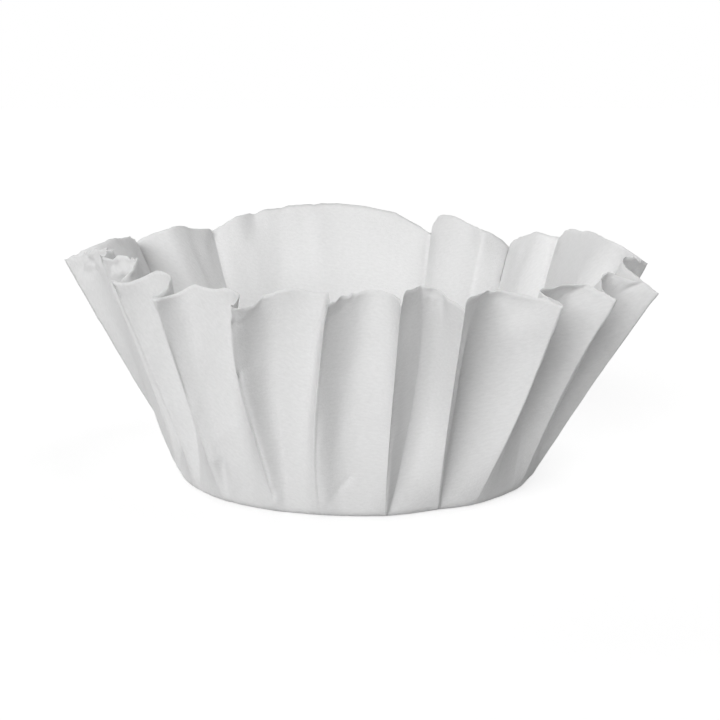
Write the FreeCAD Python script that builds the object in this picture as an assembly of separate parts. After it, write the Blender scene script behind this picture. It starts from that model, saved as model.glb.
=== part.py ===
import FreeCAD, Part
import math
import os

# Paper basket filter: one round sheet with a flat floor and a loosely pleated wall.
# Origin at the middle of the floor's underside, +Z up, front at -Y, wide smooth panel at the back.
# Lengths are in millimetres. Angles are in degrees, counted from the front towards +X.

# Sheet
paper_thickness = 0.20
base_radius = 44.5
wall_length = 59.0
corner_length = 2.4

# Ridges, from the front round to the right.
# Each has its angle at the floor, its angle at the rim, its lean from upright,
# what the wall's length gains there, and how far it bows to the right halfway up.
ridges = [
    (-11.5, -5.5, 27.5, 0.0, -1.8),
    (7.5, 6.5, 28.0, 0.5, -0.5),
    (24.0, 16.5, 29.0, 0.0, -0.5),
    (35.5, 34.0, 30.5, -0.5, 1.2),
    (57.5, 50.0, 28.0, -2.0, -1.4),
    (73.0, 68.5, 29.0, -3.0, -0.5),
    (97.0, 101.5, 31.0, -0.5, 0.0),
    (120.0, 131.0, 29.0, 2.0, 0.0),
    (141.0, 145.0, 31.0, -1.5, 0.0),
    (162.0, 163.5, 29.5, 0.0, 0.0),
    (205.0, 216.0, 26.5, 1.5, 0.0),
    (229.0, 237.5, 29.0, 1.0, 0.0),
    (260.5, 264.0, 30.5, 0.5, 0.0),
    (276.0, 293.5, 20.5, 2.5, 0.0),
    (299.0, 307.0, 23.0, -1.5, 1.0),
    (317.5, 323.0, 27.0, -1.0, -0.8),
    (335.0, 339.0, 29.0, -0.5, -1.8),
]

# Troughs, each after the ridge in the same place of the list above.
# Each has its angle at the rim, its lean, what the wall's length gains, how far its rim swells outwards,
# its share of the way from one ridge's foot to the next, and how far it hollows inwards halfway up.
# The wide panel has none, because its rim is drawn by its own points.
troughs = [
    (1.5, 20.5, -1.5, 0.3, 0.35, 1.8),
    (11.5, 19.5, -1.5, 0.3, 0.15, 2.8),
    (24.5, 19.0, -2.5, 0.6, 0.20, 3.0),
    (40.5, 18.0, -3.0, 0.6, 0.70, 2.0),
    (59.0, 19.0, -3.0, 0.6, 0.30, 2.4),
    (83.0, 20.0, -4.0, 0.6, 0.30, 2.0),
    (110.0, 20.5, 1.5, 0.5, 0.35, 2.2),
    (136.0, 22.5, 0.0, 0.3, 0.45, 2.0),
    (151.0, 22.0, 1.5, 0.3, 0.45, 1.8),
    None,
    (227.0, 21.0, 1.5, 0.4, 0.45, 2.0),
    (251.0, 20.5, 0.5, 0.5, 0.45, 2.4),
    (281.0, 16.0, 0.5, 0.3, 0.50, -1.0),
    (299.5, 13.5, 0.0, 0.3, 0.25, 1.8),
    (315.0, 17.0, -1.5, 0.3, 0.25, 1.4),
    (332.0, 18.5, -2.0, 0.3, 0.35, 0.6),
    (347.5, 19.5, -1.5, 0.5, 0.20, 1.6),
]

# The wide panel's rim, where two pleats lie opened out
panel = [
    (167.0, 26.5, 1.5),
    (174.0, 26.5, 5.0),
    (189.0, 27.5, 8.0),
    (203.0, 27.0, 6.5),
    (212.0, 25.5, 3.5),
]

# How a trough's rim leaves its ridges: two points to a side, as shares of the half width
flank_turn = 0.20
flank_rise = 0.65
shoulder_turn = 0.54

# The rim of a pleat is one smooth curve, and its wall is laid out in narrow flat facets
rim_degree = 3
rim_knots = [0.0, 0.25, 0.5, 0.75, 1.0]
rim_mults = [4, 1, 1, 1, 4]
pleat_facets = 10
panel_facets = 16
corner_facets = 2
wall_facets = 3


def between(first, last, share):
    return first + share * (last - first)


def around(angle, reach, height):
    turn = math.radians(angle)
    return FreeCAD.Vector(reach * math.sin(turn), -reach * math.cos(turn), height)


# Where each of a curve's control points has its say along the curve
def stations(knots, mults, degree):
    full = []
    for knot, times in zip(knots, mults):
        full += [knot] * times
    count = len(full) - degree - 1
    return [sum(full[i + 1:i + 1 + degree]) / degree for i in range(count)]


# A pleat's rim as angle, lean and gained length at each station
def trough_rim(start, trough, end):
    middle = trough[:3]
    swell = math.degrees(math.asin(trough[3] / wall_length))
    rim = [start]
    for side in (start, end):
        flank = [between(side[0], middle[0], flank_turn)]
        flank += [between(side[i], middle[i], flank_rise) for i in (1, 2)]
        shoulder = [between(side[0], middle[0], shoulder_turn), middle[1], middle[2]]
        rim += [flank, shoulder] if side is start else [shoulder, flank]
        if side is start:
            rim.append([middle[0], middle[1] + swell, middle[2]])
    rim.append(end)
    return rim


# The wall keeps its length along the paper, so a point that leans out further stands lower
def rim_point(corner, angle, lean, gain):
    length = wall_length + gain
    reach = base_radius + wall_length * math.sin(math.radians(lean))
    foot = around(angle, reach, 0)
    return foot + FreeCAD.Vector(0, 0, math.sqrt(length ** 2 - (foot - corner).Length ** 2))


# How far along the floor's edge a pleat's column stands, when its trough has the given share
def foot_share(share, trough_share):
    if share < 0.5:
        return trough_share * share / 0.5
    return between(trough_share, 1.0, (share - 0.5) / 0.5)


# A column of the wall: points from the floor's edge round the corner and up to the rim.
# Halfway up it bows sideways and hollows inwards.
def wall_column(base_angle, top, bow, hollow):
    edge = around(base_angle, base_radius - corner_length, 0)
    corner = around(base_angle, base_radius, 0)
    bend = corner + (top - corner).normalize() * corner_length
    column = []
    for step in range(corner_facets + 1):
        turn = step / corner_facets
        column.append(between(between(edge, corner, turn), between(corner, bend, turn), turn))
    angle = math.degrees(math.atan2(top.x + bend.x, -top.y - bend.y))
    push = around(angle, -hollow, 0) + around(angle + 90, bow, 0)
    for step in range(1, wall_facets):
        share = step / wall_facets
        column.append(between(bend, top, share) + push * math.sin(math.pi * share))
    return column + [top]


# The columns of a pleat between two ridges, where the trough has its foot's share and its hollow
def pleat_columns(start, end, rim, trough_share, hollow, facets):
    poles = []
    for station, (angle, lean, gain) in zip(stations(rim_knots, rim_mults, rim_degree), rim):
        base_angle = between(start[0], end[0], foot_share(station, trough_share))
        poles.append(rim_point(around(base_angle, base_radius, 0), angle, lean, gain))
    rim_curve = Part.BSplineCurve()
    rim_curve.buildFromPolesMultsKnots(poles, rim_mults, rim_knots, False, rim_degree)
    columns = []
    for number in range(facets):
        share = number / facets
        base_angle = between(start[0], end[0], foot_share(share, trough_share))
        fold = 1 - abs(2 * share - 1)
        bow = between(start[4], end[4], share)
        columns.append(wall_column(base_angle, rim_curve.value(share), bow, hollow * fold))
    return columns


outer = []
for index, start in enumerate(ridges):
    end = ridges[(index + 1) % len(ridges)]
    if index == len(ridges) - 1:
        end = (end[0] + 360, end[1] + 360) + end[2:]
    if troughs[index] is None:
        rim = [start[1:4]] + panel + [end[1:4]]
        outer += pleat_columns(start, end, rim, 0.5, 0.0, panel_facets)
    else:
        rim = trough_rim(start[1:4], troughs[index], end[1:4])
        outer += pleat_columns(start, end, rim, troughs[index][4], troughs[index][5], pleat_facets)


def mitre(first, second):
    return (first + second) / (1 + first.dot(second))


# The way a column rises at one of its points
def rise_at(column, level):
    if level < corner_facets:
        return column[level + 1] - column[level]
    return column[min(level + 1, len(column) - 1)] - column[max(level - 1, corner_facets)]


# The step from one side of the paper to the other at a point of a column.
# It is square to the facets on both sides of the column, so the thickness holds along a ridge.
def paper_step(before, column, after, level):
    rise = rise_at(column, level)
    left = (column[level] - before[level]).cross(rise).normalize()
    right = (after[level] - column[level]).cross(rise).normalize()
    return mitre(left, right)


# The inner side of a column
def inner_column(before, column, after):
    down = FreeCAD.Vector(0, 0, -1)
    steps = [down]
    for level in range(1, len(column)):
        steps.append(paper_step(before, column, after, level))
    for level in range(1, corner_facets):
        steps[level] = mitre(steps[level - 1], steps[level])
    return [point - step * paper_thickness for point, step in zip(column, steps)]


inner = []
for index, column in enumerate(outer):
    after = outer[(index + 1) % len(outer)]
    inner.append(inner_column(outer[index - 1], column, after))


def facet(*points):
    return Part.Face(Part.makePolygon(list(points) + [points[0]]))


def strip(first, second):
    faces = []
    for level in range(len(first) - 1):
        low, high = first[level], first[level + 1]
        faces.append(facet(low, second[level], second[level + 1]))
        faces.append(facet(low, second[level + 1], high))
    return faces


# Faces of the sheet: floor and wall on each side, and the cut rim between them
faces = [facet(*[column[0] for column in side]) for side in (outer, inner)]
for index in range(len(outer)):
    following = (index + 1) % len(outer)
    for side in (outer, inner):
        faces += strip(side[index], side[following])
    rim_first = [outer[index][-1], inner[index][-1]]
    rim_second = [outer[following][-1], inner[following][-1]]
    faces += strip(rim_first, rim_second)

shell = Part.makeShell(faces)
shell.sewShape()
sheet = Part.makeSolid(shell)
if sheet.Volume < 0:
    sheet.reverse()

os.makedirs("parts", exist_ok=True)
sheet.exportStep("parts/filter_sheet.step")
print("valid", sheet.isValid(), "faces", len(sheet.Faces), "volume", round(sheet.Volume, 1))
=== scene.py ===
import math

import bmesh
import bpy
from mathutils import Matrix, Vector, noise


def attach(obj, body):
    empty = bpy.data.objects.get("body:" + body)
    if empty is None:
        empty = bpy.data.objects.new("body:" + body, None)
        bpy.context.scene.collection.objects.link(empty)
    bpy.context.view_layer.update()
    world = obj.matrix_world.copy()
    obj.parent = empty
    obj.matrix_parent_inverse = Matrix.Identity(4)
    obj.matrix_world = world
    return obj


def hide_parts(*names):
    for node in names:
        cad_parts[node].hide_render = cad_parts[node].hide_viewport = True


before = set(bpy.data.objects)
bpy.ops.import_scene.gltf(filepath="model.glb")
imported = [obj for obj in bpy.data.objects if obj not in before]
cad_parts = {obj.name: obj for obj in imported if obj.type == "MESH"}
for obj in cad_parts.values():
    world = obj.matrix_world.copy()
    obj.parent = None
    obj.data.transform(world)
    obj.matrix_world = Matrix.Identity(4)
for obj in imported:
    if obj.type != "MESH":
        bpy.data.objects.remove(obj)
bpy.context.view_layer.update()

# Metres, +Z up, front at -Y. Angles are in degrees, counted from the front towards +X.
mm = 0.001

# Sheet
floor_radius = 44.0 * mm
sheet_radius = 103.5 * mm
sheet_diameter = 2 * sheet_radius
wall_length = sheet_radius - floor_radius
paper_thickness = 0.18 * mm
corner_length = 2.4 * mm

# Pleats, from the front round to the right. A pleat runs from its sharp ridge to the next one.
# foot: the ridge's angle, and its reach at the floor in mm
# bow: how far the ridge bows sideways and outwards in mm, and the height share of that bow
# valley: rim angle of the inward fold, and its share of the way to the next foot
# hollow: extra depth of that fold in mm, and the height share of that depth
# crisp: from 0 for a round fold to 1 for a sharp one
# sway: how far the fold bows sideways in mm
# shoulder: how far in mm the paper stands out beside the ridge before it turns inwards
# rim: angle, reach and height in mm, the first at the ridge's tip
pleats = [
    # front middle
    dict(
        foot=(-11.3, 45.0), bow=(-1.75, 0.3, 0.38), valley=(-0.5, 0.41),
        hollow=(1.5, 0.42), crisp=0.0, shoulder=0.5,
        rim=[
            (-5.3, 71.8, 52.1), (-4.6, 69.5, 52.6), (-3.0, 67.3, 53.1), (0.3, 65.0, 53.8),
            (3.4, 65.2, 53.8), (5.8, 67.0, 53.6), (6.5, 70.0, 53.1)]),
    # front, right of the middle
    dict(
        foot=(7.4, 45.2), bow=(-0.44, 0.1, 0.32), valley=(11.3, 0.03),
        hollow=(4.4, 0.56), crisp=0.8, sway=3.2, shoulder=0.9,
        rim=[
            (6.5, 72.2, 52.3), (6.8, 71.4, 53.8), (7.9, 69.4, 54.5), (9.3, 67.1, 54.2),
            (10.5, 65.0, 54.0), (11.5, 63.7, 53.9), (13.0, 64.1, 54.0), (15.0, 65.0, 53.6),
            (15.9, 67.5, 52.6), (16.4, 70.5, 51.5)]),
    # front right
    dict(
        foot=(24.0, 43.8), bow=(-0.51, 0.0, 0.31), valley=(24.8, 0.05),
        hollow=(5.0, 0.66), crisp=0.9, shoulder=0.5,
        rim=[
            (16.7, 73.0, 50.8), (17.3, 71.8, 52.1), (18.9, 69.8, 52.9), (21.6, 66.6, 53.0),
            (24.6, 63.8, 52.9), (27.9, 65.3, 52.6), (30.8, 68.2, 51.8), (32.8, 71.2, 51.3)]),
    # right, curled over at its ridge
    dict(
        foot=(35.5, 44.5), bow=(1.3, 0.3, 0.5), valley=(47.4, 0.78),
        hollow=(6.4, 0.72), crisp=0.45, shoulder=2.8,
        rim=[
            (34.0, 74.3, 50.5), (34.7, 72.0, 51.0), (35.1, 68.0, 51.3), (35.5, 65.0, 51.8),
            (37.0, 63.0, 52.2), (40.8, 62.6, 52.6), (46.0, 65.5, 52.7), (48.4, 69.0, 51.3)]),
    # right, twisted below its rim
    dict(
        foot=(57.5, 44.0), bow=(-1.4, -0.7, 0.6), valley=(66.4, 0.86),
        hollow=(5.6, 0.74), crisp=0.3, shoulder=4.6,
        rim=[
            (50.0, 72.2, 49.1), (52.0, 69.0, 50.1), (54.2, 66.0, 50.8), (57.0, 63.8, 51.7),
            (61.2, 63.3, 52.2), (64.8, 66.0, 51.9), (66.8, 70.0, 50.4)]),
    # far right
    dict(
        foot=(73.0, 43.4), bow=(-0.5, -0.5, 0.3), valley=(80.0, 0.2),
        hollow=(2.0, 0.5), crisp=0.5,
        rim=[
            (68.5, 73.0, 48.0), (72.5, 69.5, 49.1), (79.0, 65.8, 50.8), (87.5, 64.2, 51.4),
            (93.5, 66.5, 51.8), (97.8, 70.5, 51.2)]),
    # right, behind the widest point
    dict(
        foot=(97.0, 43.8), bow=(0.0, 0.0, 0.5), valley=(108.0, 0.25),
        hollow=(2.5, 0.5), crisp=0.9,
        rim=[
            (101.4, 75.0, 49.5), (101.8, 71.0, 52.1), (103.0, 67.2, 54.8), (106.0, 65.2, 56.1),
            (112.0, 65.6, 56.5), (120.0, 68.0, 56.0), (125.0, 70.0, 55.5), (127.6, 71.4, 55.1),
            (128.6, 72.0, 54.1)]),
    # back right, narrow
    dict(
        foot=(120.0, 44.0), bow=(0.0, 0.0, 0.5), valley=(138.0, 0.5),
        hollow=(1.0, 0.5), crisp=0.0,
        rim=[
            (131.0, 73.0, 52.7), (131.8, 71.2, 53.4), (134.6, 69.6, 54.0), (138.5, 69.9, 53.1),
            (142.5, 72.3, 51.0)]),
    # back right, with a crisp fold at its rim
    dict(
        foot=(141.0, 44.0), bow=(0.0, 0.0, 0.5), valley=(147.6, 0.3),
        hollow=(0.4, 0.6), crisp=0.5,
        rim=[
            (145.1, 75.0, 48.7), (145.1, 72.0, 50.0), (146.0, 68.6, 52.2), (147.5, 65.4, 54.0),
            (149.4, 65.8, 54.5), (152.8, 66.8, 55.9), (157.2, 67.5, 57.4), (160.6, 69.0, 57.3),
            (162.6, 71.5, 55.0)]),
    # back, the wide smooth panel
    dict(
        foot=(162.0, 44.0), bow=(0.0, 0.0, 0.5), valley=(189.0, 0.5),
        hollow=(2.2, 0.7), crisp=0.3, shoulder=-1.2,
        rim=[
            (163.5, 73.5, 51.5), (165.2, 71.6, 52.9), (167.5, 70.6, 55.0), (170.6, 70.4, 56.7),
            (174.9, 70.8, 58.3), (182.0, 71.4, 59.6), (189.0, 71.8, 60.1), (196.0, 71.9, 59.7),
            (202.9, 71.4, 58.6), (209.4, 70.0, 57.3), (213.8, 69.6, 55.4)]),
    # back left
    dict(
        foot=(212.0, 44.0), bow=(1.5, 0.0, 0.6), valley=(226.0, 0.45),
        hollow=(1.2, 0.5), crisp=0.2,
        rim=[
            (216.3, 70.6, 53.5), (220.4, 68.0, 54.6), (224.9, 66.9, 55.5), (228.3, 66.8, 56.1),
            (232.0, 67.2, 55.6), (235.5, 70.2, 53.9)]),
    # left, behind the widest point
    dict(
        foot=(229.0, 44.2), bow=(0.0, 0.0, 0.5), valley=(250.0, 0.45),
        hollow=(2.5, 0.5), crisp=0.5,
        rim=[
            (237.6, 73.0, 52.3), (241.0, 69.0, 53.6), (246.0, 66.2, 54.9), (252.0, 65.2, 55.6),
            (257.5, 66.6, 55.2), (261.2, 70.2, 53.6)]),
    # far left, crumpled
    dict(
        foot=(260.5, 45.8), bow=(0.0, 0.7, 0.5), valley=(279.0, 0.5),
        hollow=(-2.0, 0.3), crisp=0.3,
        rim=[
            (264.1, 74.5, 51.4), (266.0, 70.5, 52.7), (270.0, 65.8, 54.6), (276.0, 62.2, 55.7),
            (283.0, 60.8, 55.9), (290.0, 62.6, 55.9)]),
    # left, a crumpled flap
    dict(
        foot=(276.0, 45.8), bow=(0.1, -1.2, 0.4), valley=(298.0, 0.2),
        hollow=(2.0, 0.45), crisp=0.5,
        rim=[
            (293.6, 65.0, 55.8), (294.2, 62.4, 55.5), (295.6, 59.6, 55.6), (299.0, 58.4, 56.4),
            (303.0, 59.2, 56.6), (305.6, 62.0, 54.9)]),
    # front left, narrow
    dict(
        foot=(299.0, 45.6), bow=(1.0, -1.1, 0.23), valley=(313.0, 0.2),
        hollow=(1.5, 0.5), crisp=0.5,
        rim=[
            (306.8, 67.6, 52.1), (308.0, 65.0, 52.5), (310.6, 62.8, 53.3), (314.6, 61.8, 54.9),
            (318.4, 62.0, 54.6), (321.2, 64.8, 53.4)]),
    # front left, plain
    dict(
        foot=(317.4, 45.4), bow=(-0.8, 0.3, 0.38), valley=(328.5, 0.35),
        hollow=(0.4, 0.5), crisp=0.3, shoulder=0.2,
        rim=[
            (323.0, 71.4, 51.2), (323.5, 68.8, 51.5), (325.0, 65.8, 52.1), (327.7, 65.2, 53.7),
            (330.6, 63.8, 53.0), (334.8, 63.0, 53.3), (337.4, 65.4, 52.8), (338.6, 69.3, 51.6)]),
    # front, left of the middle
    dict(
        foot=(335.0, 45.2), bow=(-1.8, 0.4, 0.66), valley=(345.0, 0.3),
        hollow=(1.6, 0.42), crisp=0.0, shoulder=0.4,
        rim=[
            (339.1, 73.0, 50.9), (340.2, 70.8, 50.6), (341.3, 67.8, 51.0), (343.2, 65.8, 52.4),
            (347.2, 64.8, 54.2), (349.3, 64.0, 53.8), (351.2, 63.6, 53.1), (353.6, 64.4, 53.4),
            (354.4, 67.8, 52.8)]),
]

# Folds in general
# depths in mm of the fine line pressed in beside each ridge, by column
crease_groove = {1: 0.30, 2: 0.15}
# how soon the shoulder beside a ridge is past
shoulder_rise = 1.25
# how crisp the far side of a round fold is
far_side_crisp = 0.3
# under 1, a hollow keeps its depth over more of the wall's height
hollow_fullness = 0.7
# share of the rim beside the ridge in which it may turn back
curled_share = 0.15

# Mesh density. A pleat wider at its foot than the plain one has more columns.
ridge_columns = 10
panel_columns = 17
plain_pleat = 20.0
even_spacing = 0.35
rim_steps = 400
wall_rows = 60
corner_rows = 8
floor_rings = 12

# Waves and cockles of the paper: height, length across, length up the wall, and seed
soft_wave = (0.30 * mm, 9.0 * mm, 34.0 * mm, 3.1)
small_wave = (0.10 * mm, 3.6 * mm, 8.0 * mm, 17.7)
cockle = (0.03 * mm, 1.7 * mm, 1.7 * mm, 41.3)
# girth of the cylinder that the waves are read on, as a share of the sheet's own
wave_girth = 0.75
# the waves grow over this much of the wall, from this share of the small ones at the floor
wave_start = 12.0 * mm
small_wave_share = 0.35
floor_cockle_share = 0.5

# Cut edge: how deep it curls, its curl, its long unevenness and its small nicks
edge_depth = 4.0 * mm
edge_wave = (0.85 * mm, 5.0 * mm, 30.0 * mm, 29.9)
cut_wave = (0.42 * mm, 3.5 * mm, 30.0 * mm, 63.1)
nick_wave = (0.46 * mm, 1.1 * mm, 30.0 * mm, 71.9)
# nicks on plain paper, and how much more there are for each mm of crumpling
plain_nicks = 0.6
crumple_nicks = 0.9

# Dents and creases, placed on the flat sheet: turn in degrees and distance from the middle in mm,
# half length along the wall and half width across in mm, lean in degrees, height in mm, and edge
marks = [
    # front: the bend across the pleat, its crumpled foot and the dimple beside the next fold
    (332.6, 87.0, 5.0, 1.1, 62.0, -0.35, "sharp"),
    (332.4, 93.0, 6.0, 4.0, 10.0, -0.35, "round"),
    (336.0, 48.5, 2.5, 1.2, 40.0, 0.5, "sharp"),
    (334.5, 50.0, 3.5, 1.4, -25.0, -0.5, "sharp"),
    (319.2, 53.0, 6.0, 1.3, 0.0, -1.2, "round"),
    (318.2, 57.5, 3.0, 0.9, 60.0, 0.4, "sharp"),
    (318.5, 91.0, 12.0, 4.0, 8.0, 0.35, "round"),
    (320.5, 76.0, 9.0, 2.2, -30.0, -0.25, "round"),
    (322.0, 66.0, 7.0, 1.6, 35.0, 0.22, "sharp"),
    (314.0, 69.0, 8.0, 1.8, 25.0, 0.22, "sharp"),
    (316.0, 83.0, 6.0, 1.5, -40.0, 0.20, "sharp"),
    (299.5, 56.6, 6.0, 0.8, 0.0, 0.25, "sharp"),
    (301.0, 59.0, 9.0, 1.4, 4.0, -0.25, "round"),
    (355.4, 52.8, 5.5, 1.2, 32.0, -0.45, "sharp"),
    (342.0, 98.0, 5.0, 2.4, -15.0, 0.4, "round"),
    (346.0, 101.0, 4.0, 2.0, 20.0, -0.5, "round"),
    (339.0, 70.0, 14.0, 3.0, 3.0, 0.25, "round"),
    (358.5, 100.0, 5.0, 2.5, 10.0, 0.3, "round"),
    (13.5, 100.5, 5.0, 3.0, 0.0, 0.5, "round"),
    # right: the bend below the rim and the rolled corner at the foot
    (32.0, 95.0, 13.0, 3.4, 55.0, 0.40, "round"),
    (29.0, 99.5, 7.0, 3.0, 62.0, -0.30, "round"),
    (40.5, 101.0, 4.0, 4.0, 40.0, 0.5, "round"),
    (54.0, 99.5, 6.0, 3.5, 10.0, 0.7, "round"),
    (50.6, 102.0, 2.4, 0.7, 30.0, -0.9, "sharp"),
    (53.0, 102.6, 1.8, 0.7, -40.0, 0.9, "sharp"),
    (56.5, 102.8, 1.6, 0.8, 35.0, -0.7, "sharp"),
    (68.5, 102.4, 2.4, 0.7, -30.0, 0.8, "sharp"),
    (72.0, 102.8, 1.8, 0.8, 30.0, -0.8, "sharp"),
    (3.5, 102.6, 2.0, 0.7, 35.0, -0.7, "sharp"),
    (349.0, 102.6, 2.0, 0.7, -35.0, 0.7, "sharp"),
    (334.0, 102.4, 2.2, 0.7, 40.0, -0.7, "sharp"),
    (52.5, 88.0, 8.0, 1.4, 6.0, 0.35, "sharp"),
    (70.0, 99.0, 6.0, 4.0, -10.0, 0.6, "round"),
    (107.8, 98.0, 12.0, 1.6, 6.0, -0.9, "sharp"),
    (104.0, 99.0, 9.0, 2.0, 0.0, 0.8, "round"),
    (95.0, 101.0, 4.0, 2.0, 50.0, -0.8, "sharp"),
    (99.0, 98.5, 4.0, 1.6, -50.0, 0.7, "sharp"),
    # back: soft upright creases of the wide panel and its neighbours
    (189.6, 94.0, 16.0, 3.4, 0.0, -0.55, "round"),
    (192.5, 98.0, 12.0, 2.2, 4.0, 0.35, "round"),
    (172.0, 99.0, 10.0, 3.0, 4.0, 0.7, "round"),
    (171.5, 101.5, 4.0, 1.0, -35.0, -0.5, "sharp"),
    (206.0, 100.5, 5.0, 2.6, 25.0, -0.7, "round"),
    (202.0, 101.5, 4.0, 2.4, 0.0, 0.5, "round"),
    (198.0, 86.0, 12.0, 4.0, -14.0, 0.4, "round"),
    (181.0, 88.0, 14.0, 4.0, 10.0, 0.35, "round"),
    (155.0, 101.0, 4.0, 2.0, 0.0, 0.5, "round"),
    (129.0, 99.0, 9.0, 1.4, 4.0, -0.6, "sharp"),
    (137.0, 97.0, 9.0, 2.2, 0.0, 0.4, "round"),
    (222.4, 94.0, 13.0, 2.8, 0.0, -0.25, "round"),
    (217.5, 94.0, 13.0, 3.0, 4.0, 0.30, "round"),
    (229.2, 98.0, 9.0, 0.9, -18.0, 0.9, "sharp"),
    # left: the crumpled tips
    (264.5, 101.8, 3.0, 1.8, 30.0, -1.6, "round"),
    (261.0, 100.0, 5.0, 1.0, -35.0, 0.9, "sharp"),
    (267.0, 99.5, 4.0, 1.2, 50.0, 0.9, "sharp"),
    (270.5, 101.5, 3.0, 1.4, -20.0, -1.0, "sharp"),
    (256.0, 101.0, 4.0, 1.2, 55.0, -0.7, "sharp"),
    (279.7, 102.2, 3.0, 1.4, 40.0, -1.0, "sharp"),
    (281.5, 100.2, 3.4, 1.2, -45.0, 1.0, "sharp"),
    (284.0, 101.5, 2.6, 1.0, 20.0, -1.0, "sharp"),
    (280.0, 97.5, 4.0, 1.2, 70.0, -0.8, "sharp"),
    (287.5, 100.5, 3.4, 1.6, -60.0, 0.8, "sharp"),
    (291.0, 101.0, 3.0, 1.4, 35.0, -0.7, "sharp"),
    (297.0, 101.3, 3.0, 1.6, -30.0, 0.6, "sharp"),
    (257.0, 91.0, 7.0, 1.2, 30.0, 0.35, "sharp"),
    (258.5, 80.0, 9.0, 1.4, -20.0, 0.25, "sharp"),
    (297.0, 88.0, 8.0, 2.0, 15.0, 0.30, "round"),
    (294.5, 79.0, 7.0, 1.3, -35.0, 0.25, "sharp"),
]
# how fast a sharp crease falls off, and where a mark ends in half lengths and half widths
sharp_fall = 1.6
mark_end = 2.2
mark_side = 3.0

# Crumpled places of the cut edge: turn in degrees and distance from the middle, radius, height and
# cell size in mm
crumples = [
    (250.0, 101.0, 6.0, 1.3, 3.6), (259.0, 101.5, 8.0, 3.0, 3.0), (270.0, 101.5, 9.0, 3.0, 3.0),
    (281.0, 101.0, 9.0, 2.3, 3.2), (291.0, 102.0, 7.0, 1.9, 3.0), (229.0, 102.0, 6.0, 1.2, 3.6),
    (98.0, 102.0, 7.0, 2.1, 3.0), (106.0, 102.0, 6.0, 1.2, 3.6), (66.0, 102.5, 5.5, 2.1, 2.6),
    (48.0, 102.5, 5.0, 1.7, 2.6), (27.0, 102.5, 4.5, 1.2, 2.6), (10.0, 102.5, 5.0, 1.5, 2.6),
    (351.0, 102.0, 5.5, 1.4, 2.6), (330.0, 102.0, 5.5, 1.4, 2.6), (308.0, 102.0, 5.5, 1.4, 2.8),
    (152.0, 102.5, 4.0, 0.8, 3.2), (172.0, 102.5, 4.0, 0.9, 3.2), (209.0, 102.5, 4.0, 0.7, 3.2)]
# height that the middle of a facet is taken at, and how sharply a crumpled place begins
facet_level = 0.35
crumple_start = 1.4

# Faint net of handling creases all over the wall: height, cell size and seed
crease_net = (0.10 * mm, 10.0 * mm, 5.3)

# Paper: dark and light tone of its fibres, their size across and along, and the fine grain
fibre_tones = (0.71, 0.87)
fibre_scale = (150.0, 340.0, 1.0)
fibre_detail = 6.0
fibre_roughness = 0.65
grain_scale = 420.0
grain_detail = 4.0
grain_height = 0.15 * mm
grain_strength = 0.5
paper_roughness = 0.85
paper_shine = 0.2
light_through = 0.3
light_depth = 0.4 * mm

# Stage: a white ground that keeps a soft shadow. Its tone is lower where the camera sees it, and
# a glow that only the camera sees brings that up to white.
floor_size = 8.0
floor_gap = 0.1 * mm
floor_tone = 0.66
seen_floor_tone = 0.36
seen_floor_glow = 0.76
world_light = 0.04
seen_world_light = 1.0

# Lamps: name, angle and elevation that the light comes from, softness in degrees, and strength
suns = (
    ("key", -22.0, 23.0, 38.0, 2.24),
    ("right", 80.0, 62.0, 34.0, 1.02),
    ("back_left", -148.0, 14.0, 50.0, 1.40),
    ("back_right", 178.0, 12.0, 40.0, 0.80))

# Camera, from the floor's middle
camera_place = (0.0, -360.8 * mm, 96.7 * mm)
camera_dip = 10.9
camera_lens = 73.85
camera_sensor = 36.0
camera_near = 0.01


def between(first, last, share):
    return first + share * (last - first)


def around(angle, reach, height):
    turn = math.radians(angle)
    return Vector((reach * math.sin(turn), -reach * math.cos(turn), height))


def smooth(share):
    share = min(max(share, 0.0), 1.0)
    return share * share * (3.0 - 2.0 * share)


# Length along a line from its start to each of its points
def lengths_along(line):
    lengths = [0.0]
    for first, second in zip(line, line[1:]):
        lengths.append(lengths[-1] + (second - first).length)
    return lengths


# A smooth curve through the points, with its two ends free
def curve_through(points, count):
    lengths = [0.0]
    for first, second in zip(points, points[1:]):
        lengths.append(lengths[-1] + math.sqrt((second - first).length))
    slopes = []
    for index in range(len(points)):
        low = max(index - 1, 0)
        high = min(index + 1, len(points) - 1)
        slopes.append((points[high] - points[low]) / (lengths[high] - lengths[low]))
    line = []
    place = 0
    for number in range(count + 1):
        along = lengths[-1] * number / count
        while place < len(points) - 2 and along > lengths[place + 1]:
            place += 1
        span = lengths[place + 1] - lengths[place]
        t = (along - lengths[place]) / span
        line.append(
            points[place] * (2 * t ** 3 - 3 * t ** 2 + 1)
            + slopes[place] * (span * (t ** 3 - 2 * t ** 2 + t))
            + points[place + 1] * (3 * t ** 2 - 2 * t ** 3)
            + slopes[place + 1] * (span * (t ** 3 - t ** 2)))
    return line


# Places along a curve by share of its length
def by_length(line, shares):
    lengths = lengths_along(line)
    found = []
    place = 0
    for share in shares:
        along = share * lengths[-1]
        while place < len(line) - 2 and along > lengths[place + 1]:
            place += 1
        span = lengths[place + 1] - lengths[place]
        found.append(line[place].lerp(line[place + 1], (along - lengths[place]) / span))
    return found


# Shares from 0 to 1, closer together at both ends
def shares_along(count):
    shares = []
    for number in range(count):
        even = number / count
        shares.append(
            even_spacing * even
            + (1.0 - even_spacing) * (0.5 - 0.5 * math.cos(math.pi * even)))
    return shares


# Share of the rim's length at which it passes an angle
def share_at_angle(line, angle):
    lengths = lengths_along(line)
    for index, point in enumerate(line):
        seen = math.degrees(math.atan2(point.x, -point.y))
        if (seen - angle + 180) % 360 - 180 >= 0 and index > curled_share * len(line):
            return lengths[index] / lengths[-1]
    return 0.5


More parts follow.
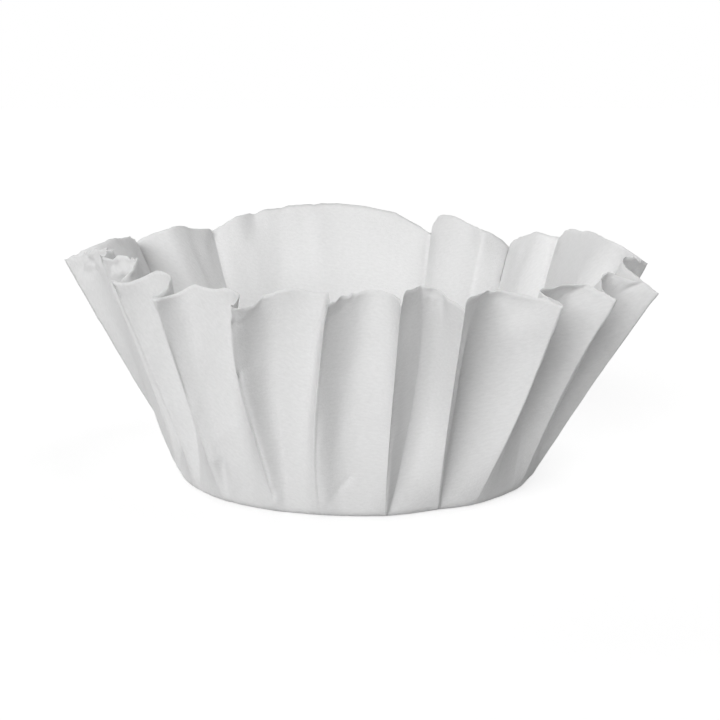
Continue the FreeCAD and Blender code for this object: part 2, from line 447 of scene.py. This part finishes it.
def rim_line(pleat, following):
    points = pleat["rim"] + following["rim"][:1]
    return curve_through(
        [around(angle, reach * mm, height * mm) for angle, reach, height in points], rim_steps)


# Columns of one pleat: share of its rim and of its foot, how far into the fold, and hollow in mm
def pleat_columns(pleat, valley_rim, foot_width):
    valley_foot = pleat["valley"][1]
    depth = pleat["hollow"][0]
    crisp = pleat["crisp"]
    shoulder = pleat.get("shoulder", 0.0)
    first = ridge_columns
    second = round(panel_columns * max(1.0, foot_width / plain_pleat))
    if valley_rim > 0.5:
        first, second = second, first
    across = []
    for number, share in enumerate(shares_along(first)):
        fold = between(smooth(share), share ** 2, crisp)
        stand = math.sin(math.pi * min(shoulder_rise * share, 1.0)) ** 2
        hollow = depth * fold - shoulder * stand + crease_groove.get(number, 0.0)
        across.append((valley_rim * share, valley_foot * share, fold, hollow))
    for share in shares_along(second):
        fold = 1.0 - between(smooth(share), share, between(far_side_crisp, 1.0, crisp))
        across.append((
            between(valley_rim, 1.0, share), between(valley_foot, 1.0, share), fold, depth * fold))
    return across


# Turn of each rim point on the flat sheet, by its share of the whole cut edge
def turn_rim(columns):
    tops = [column["top"] for column in columns]
    lengths = lengths_along(tops + tops[:1])
    turns = [360.0 * length / lengths[-1] for length in lengths]
    offset = sum(turn - column["angle"] for turn, column in zip(turns, columns)) / len(columns)
    for turn, column in zip(turns, columns):
        column["rim_turn"] = turn - offset


# Every column of the sheet: its foot, rim point, bow and hollow, and its turn on the flat sheet
def lay_columns():
    columns = []
    for pleat, following in zip(pleats, pleats[1:] + pleats[:1]):
        foot_angle, foot_reach = pleat["foot"]
        next_angle, next_reach = following["foot"]
        if next_angle < foot_angle:
            next_angle += 360
        line = rim_line(pleat, following)
        valley_rim = share_at_angle(line, pleat["valley"][0])
        across = pleat_columns(pleat, valley_rim, next_angle - foot_angle)
        tops = by_length(line, [place[0] for place in across])
        for (rim_share, foot_share, fold, hollow), top in zip(across, tops):
            turn = smooth(foot_share)
            columns.append(dict(
                angle=between(foot_angle, next_angle, foot_share),
                reach=between(foot_reach, next_reach, turn) * mm,
                top=top,
                bow=[between(a, b, turn) for a, b in zip(pleat["bow"], following["bow"])],
                hollow=hollow * mm,
                hollow_height=pleat["hollow"][1],
                sway=fold * pleat.get("sway", 0.0) * mm))
    turn_rim(columns)
    return columns


def bow_shape(height, peak):
    power = math.log(0.5) / math.log(peak)
    return math.sin(math.pi * min(max(height, 0.0), 1.0) ** power)


# A point of the sheet at a flat distance from its middle, along one column
def sheet_point(column, distance):
    angle = column["angle"]
    foot = around(angle, column["reach"], 0.0)
    ruling = column["top"] - foot
    edge_distance = floor_radius - corner_length
    bend_distance = floor_radius + corner_length
    edge = around(angle, column["reach"] - corner_length, 0.0)
    if distance <= edge_distance:
        return edge * (distance / edge_distance)
    if distance < bend_distance:
        turn = (distance - edge_distance) / (bend_distance - edge_distance)
        bend = foot + ruling.normalized() * corner_length
        point = edge.lerp(foot, turn).lerp(foot.lerp(bend, turn), turn)
        height = point.z / column["top"].z
    else:
        start = corner_length / ruling.length
        wall_share = (distance - bend_distance) / (sheet_radius - bend_distance)
        height = between(start, 1.0, wall_share)
        point = foot + ruling * height
    turn = math.atan2(point.x, -point.y)
    sideways = Vector((math.cos(turn), math.sin(turn), 0.0))
    outwards = Vector((math.sin(turn), -math.cos(turn), 0.0))
    side, out, bow_height = column["bow"]
    bend = bow_shape(height, bow_height) * mm
    sink = bow_shape(height, column["hollow_height"]) ** hollow_fullness
    side = side * bend + column["sway"] * sink
    return point + sideways * side + outwards * (out * bend - column["hollow"] * sink)


# Turn of a place on the flat sheet, in degrees
def flat_turn(column, distance):
    share = max(0.0, (distance - floor_radius) / wall_length)
    return between(column["angle"], column["rim_turn"], share)


# Place on the flat sheet in its own square layout, from 0 to 1
def flat_place(column, distance):
    angle = math.radians(flat_turn(column, distance))
    return (
        0.5 + distance * math.sin(angle) / sheet_diameter,
        0.5 - distance * math.cos(angle) / sheet_diameter)


# Turn between two places on the flat sheet, from -180 to 180 degrees, in radians
def swing(turn, other_turn):
    return math.radians((turn - other_turn + 180.0) % 360.0 - 180.0)


def row_distances():
    edge_distance = floor_radius - corner_length
    bend_distance = floor_radius + corner_length
    rows = [edge_distance * (ring + 1) / floor_rings for ring in range(floor_rings)]
    for row in range(corner_rows):
        rows.append(between(edge_distance, bend_distance, (row + 1) / corner_rows))
    for row in range(wall_rows):
        rows.append(between(bend_distance, sheet_radius, (row + 1) / wall_rows))
    return rows


# Uneven height of the paper, read on a cylinder so that it wraps round the sheet
def ripple(wave, flat):
    size, across, up, seed = wave
    turn, distance = flat
    girth = wave_girth * sheet_radius / across
    angle = math.radians(turn)
    return size * noise.noise(
        Vector((math.cos(angle) * girth, math.sin(angle) * girth, distance / up + seed)))


def flat_ripple(wave, flat):
    size, across, up, seed = wave
    turn, distance = flat
    angle = math.radians(turn)
    return size * noise.noise(
        Vector((distance * math.cos(angle) / across, distance * math.sin(angle) / up, seed)))


# Height that the dents and creases give at a place on the flat sheet
def marked(flat):
    turn, distance = flat
    lift = 0.0
    for mark_turn, mark_distance, along, across, lean, depth, edge in marks:
        right = swing(turn, mark_turn) * distance
        up = distance - mark_distance * mm
        lean = math.radians(lean)
        up, right = (
            up * math.cos(lean) + right * math.sin(lean),
            right * math.cos(lean) - up * math.sin(lean))
        far_up = up / (along * mm)
        far_right = right / (across * mm)
        if abs(far_up) > mark_end or abs(far_right) > mark_side:
            continue
        fall = math.exp(-far_up * far_up)
        if edge == "sharp":
            lift += depth * mm * fall * math.exp(-sharp_fall * abs(far_right))
        else:
            lift += depth * mm * fall * math.exp(-far_right * far_right)
    return lift


# Sharp facets of crumpled paper: the height falls towards the borders of uneven cells
def facet_height(right, up, cell, seed):
    near, next_near = noise.voronoi(Vector((right / cell, up / cell, seed)))[0][:2]
    return next_near - near


# Height that the crumpling gives at a place on the flat sheet, and how crumpled it is there in mm
def crumpled(flat):
    turn, distance = flat
    angle = math.radians(turn)
    height, cell, seed = crease_net
    lift = height * facet_height(
        distance * math.sin(angle), distance * math.cos(angle), cell, seed)
    rough = 0.0
    for zone_turn, zone_distance, radius, height, cell in crumples:
        right = swing(turn, zone_turn) * distance
        up = distance - zone_distance * mm
        reach = math.hypot(right, up) / (radius * mm)
        if reach < 1.0:
            facet = facet_height(right, up, cell * mm, zone_turn) - facet_level
            inside = smooth(crumple_start * (1.0 - reach))
            lift += height * mm * inside * facet
            rough += inside * height
    return lift, rough


def cockled(point, normal, flat):
    distance = flat[1]
    upwards = Vector((0.0, 0.0, 1.0))
    lift = flat_ripple(cockle, flat)
    if distance < floor_radius - corner_length:
        # the floor stays down on its rest
        return point + upwards * (abs(lift) * floor_cockle_share)
    wall = smooth((distance - floor_radius) / wave_start)
    lift += ripple(soft_wave, flat) * wall
    lift += ripple(small_wave, flat) * between(small_wave_share, 1.0, wall)
    facets, rough = crumpled(flat)
    lift += marked(flat) + facets * wall
    edge = smooth((distance - sheet_radius + edge_depth) / edge_depth)
    curl = ripple(edge_wave, flat) * edge
    nicks = ripple(nick_wave, flat) * (plain_nicks + crumple_nicks * rough) * edge * edge
    cut = ripple(cut_wave, flat) * edge + nicks
    return point + normal * (lift + curl) + upwards * cut


def add_face(grid, flat_layer, corners, places):
    face = grid.faces.new(corners)
    for loop, place in zip(face.loops, places):
        loop[flat_layer].uv = place


# The folded sheet without thickness, with its flat layout kept beside it
def fold_sheet(grid, columns, distances):
    flat_layer = grid.loops.layers.uv.new("flat_sheet")
    centre = grid.verts.new((0.0, 0.0, 0.0))
    lines = []
    for column in columns:
        lines.append([grid.verts.new(sheet_point(column, distance)) for distance in distances])
    for number, (column, line) in enumerate(zip(columns, lines)):
        following = (number + 1) % len(lines)
        next_column, next_line = columns[following], lines[following]
        inner = distances[0]
        add_face(
            grid, flat_layer, (centre, next_line[0], line[0]),
            ((0.5, 0.5), flat_place(next_column, inner), flat_place(column, inner)))
        for row, (near, far) in enumerate(zip(distances, distances[1:])):
            add_face(
                grid, flat_layer,
                (line[row], next_line[row], next_line[row + 1], line[row + 1]),
                (flat_place(column, near), flat_place(next_column, near),
                 flat_place(next_column, far), flat_place(column, far)))
    return lines


# Moves every point to the height that the waves, creases and crumples give it
def cockle_sheet(grid, columns, lines, distances):
    grid.normal_update()
    moved = []
    for column, line in zip(columns, lines):
        for vertex, distance in zip(line, distances):
            flat = (flat_turn(column, distance), distance)
            moved.append((vertex, cockled(vertex.co, vertex.normal, flat)))
    for vertex, place in moved:
        vertex.co = place


def make_sheet():
    columns = lay_columns()
    distances = row_distances()
    grid = bmesh.new()
    lines = fold_sheet(grid, columns, distances)
    cockle_sheet(grid, columns, lines, distances)
    mesh = bpy.data.meshes.new("filter_paper_sheet")
    grid.to_mesh(mesh)
    grid.free()
    sheet = bpy.data.objects.new("filter_paper_sheet", mesh)
    bpy.context.collection.objects.link(sheet)
    bpy.ops.object.select_all(action="DESELECT")
    bpy.context.view_layer.objects.active = sheet
    sheet.select_set(True)
    bpy.ops.object.shade_smooth()
    wall = sheet.modifiers.new("paper_thickness", "SOLIDIFY")
    wall.thickness = paper_thickness
    wall.offset = -1.0
    wall.use_even_offset = False
    bpy.ops.object.modifier_apply(modifier=wall.name)
    return sheet


def grey(level):
    return (level, level, level, 1.0)


def new_material(name):
    material = bpy.data.materials.new(name)
    material.use_nodes = True
    nodes = material.node_tree.nodes
    return material, nodes, material.node_tree.links, nodes["Principled BSDF"].inputs


# Mixes two greys by a factor
def tone_mix(nodes, first, second):
    tone = nodes.new("ShaderNodeMix")
    tone.data_type = "RGBA"
    tone.inputs["A"].default_value = grey(first)
    tone.inputs["B"].default_value = grey(second)
    return tone


def paper_material():
    material, nodes, links, shader = new_material("white_filter_paper")
    shader["Roughness"].default_value = paper_roughness
    shader["Specular IOR Level"].default_value = paper_shine
    # light passes through the thin paper
    shader["Subsurface Weight"].default_value = light_through
    shader["Subsurface Radius"].default_value = (1.0, 1.0, 1.0)
    shader["Subsurface Scale"].default_value = light_depth
    uv = nodes.new("ShaderNodeUVMap")
    uv.uv_map = "flat_sheet"
    stretch = nodes.new("ShaderNodeMapping")
    stretch.inputs["Scale"].default_value = fibre_scale
    fibre = nodes.new("ShaderNodeTexNoise")
    fibre.inputs["Scale"].default_value = 1.0
    fibre.inputs["Detail"].default_value = fibre_detail
    fibre.inputs["Roughness"].default_value = fibre_roughness
    tone = tone_mix(nodes, *fibre_tones)
    grain = nodes.new("ShaderNodeTexNoise")
    grain.inputs["Scale"].default_value = grain_scale
    grain.inputs["Detail"].default_value = grain_detail
    bump = nodes.new("ShaderNodeBump")
    bump.inputs["Strength"].default_value = grain_strength
    bump.inputs["Distance"].default_value = grain_height
    links.new(uv.outputs["UV"], stretch.inputs["Vector"])
    links.new(stretch.outputs["Vector"], fibre.inputs["Vector"])
    links.new(uv.outputs["UV"], grain.inputs["Vector"])
    links.new(fibre.outputs["Fac"], tone.inputs["Factor"])
    links.new(tone.outputs["Result"], shader["Base Color"])
    links.new(grain.outputs["Fac"], bump.inputs["Height"])
    links.new(bump.outputs["Normal"], shader["Normal"])
    return material


def floor_material():
    material, nodes, links, shader = new_material("pale_floor")
    shader["Roughness"].default_value = 1.0
    shader["Specular IOR Level"].default_value = 0.0
    shader["Emission Color"].default_value = grey(1.0)
    path = nodes.new("ShaderNodeLightPath")
    tone = tone_mix(nodes, floor_tone, seen_floor_tone)
    links.new(path.outputs["Is Camera Ray"], tone.inputs["Factor"])
    links.new(tone.outputs["Result"], shader["Base Color"])
    glow = nodes.new("ShaderNodeMath")
    glow.operation = "MULTIPLY"
    glow.inputs[1].default_value = seen_floor_glow
    links.new(path.outputs["Is Camera Ray"], glow.inputs[0])
    links.new(glow.outputs["Value"], shader["Emission Strength"])
    return material


def set_world():
    world = bpy.data.worlds.new("studio")
    bpy.context.scene.world = world
    world.use_nodes = True
    nodes = world.node_tree.nodes
    links = world.node_tree.links
    back = nodes["Background"]
    back.inputs["Color"].default_value = grey(1.0)
    path = nodes.new("ShaderNodeLightPath")
    level = nodes.new("ShaderNodeMix")
    level.data_type = "FLOAT"
    level.inputs["A"].default_value = world_light
    level.inputs["B"].default_value = seen_world_light
    links.new(path.outputs["Is Camera Ray"], level.inputs["Factor"])
    links.new(level.outputs["Result"], back.inputs["Strength"])


def add_sun(name, angle, elevation, softness, strength):
    lamp = bpy.data.lights.new(name, "SUN")
    lamp.energy = strength
    lamp.angle = math.radians(softness)
    stand = bpy.data.objects.new(name, lamp)
    bpy.context.collection.objects.link(stand)
    stand.rotation_euler = (math.radians(90.0 - elevation), 0.0, math.radians(angle))


def add_camera():
    lens = bpy.data.cameras.new("camera")
    lens.sensor_width = camera_sensor
    lens.lens = camera_lens
    lens.clip_start = camera_near
    camera = bpy.data.objects.new("camera", lens)
    bpy.context.collection.objects.link(camera)
    camera.location = camera_place
    camera.rotation_euler = (math.radians(90.0 - camera_dip), 0.0, 0.0)
    bpy.context.scene.camera = camera


def add_floor():
    bpy.ops.object.select_all(action="DESELECT")
    bpy.ops.mesh.primitive_plane_add(size=floor_size, location=(0.0, 0.0, -floor_gap))
    floor = bpy.context.object
    floor.name = "pale_floor"
    bpy.ops.object.transform_apply(location=True, rotation=False, scale=False)
    floor.data.materials.append(floor_material())


bpy.ops.object.select_all(action="DESELECT")
sheet = make_sheet()
sheet.data.materials.append(paper_material())
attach(sheet, "root")
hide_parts("filter_sheet")

add_floor()
set_world()
for sun in suns:
    add_sun(*sun)
add_camera()

bpy.context.scene.view_settings.view_transform = "Standard"
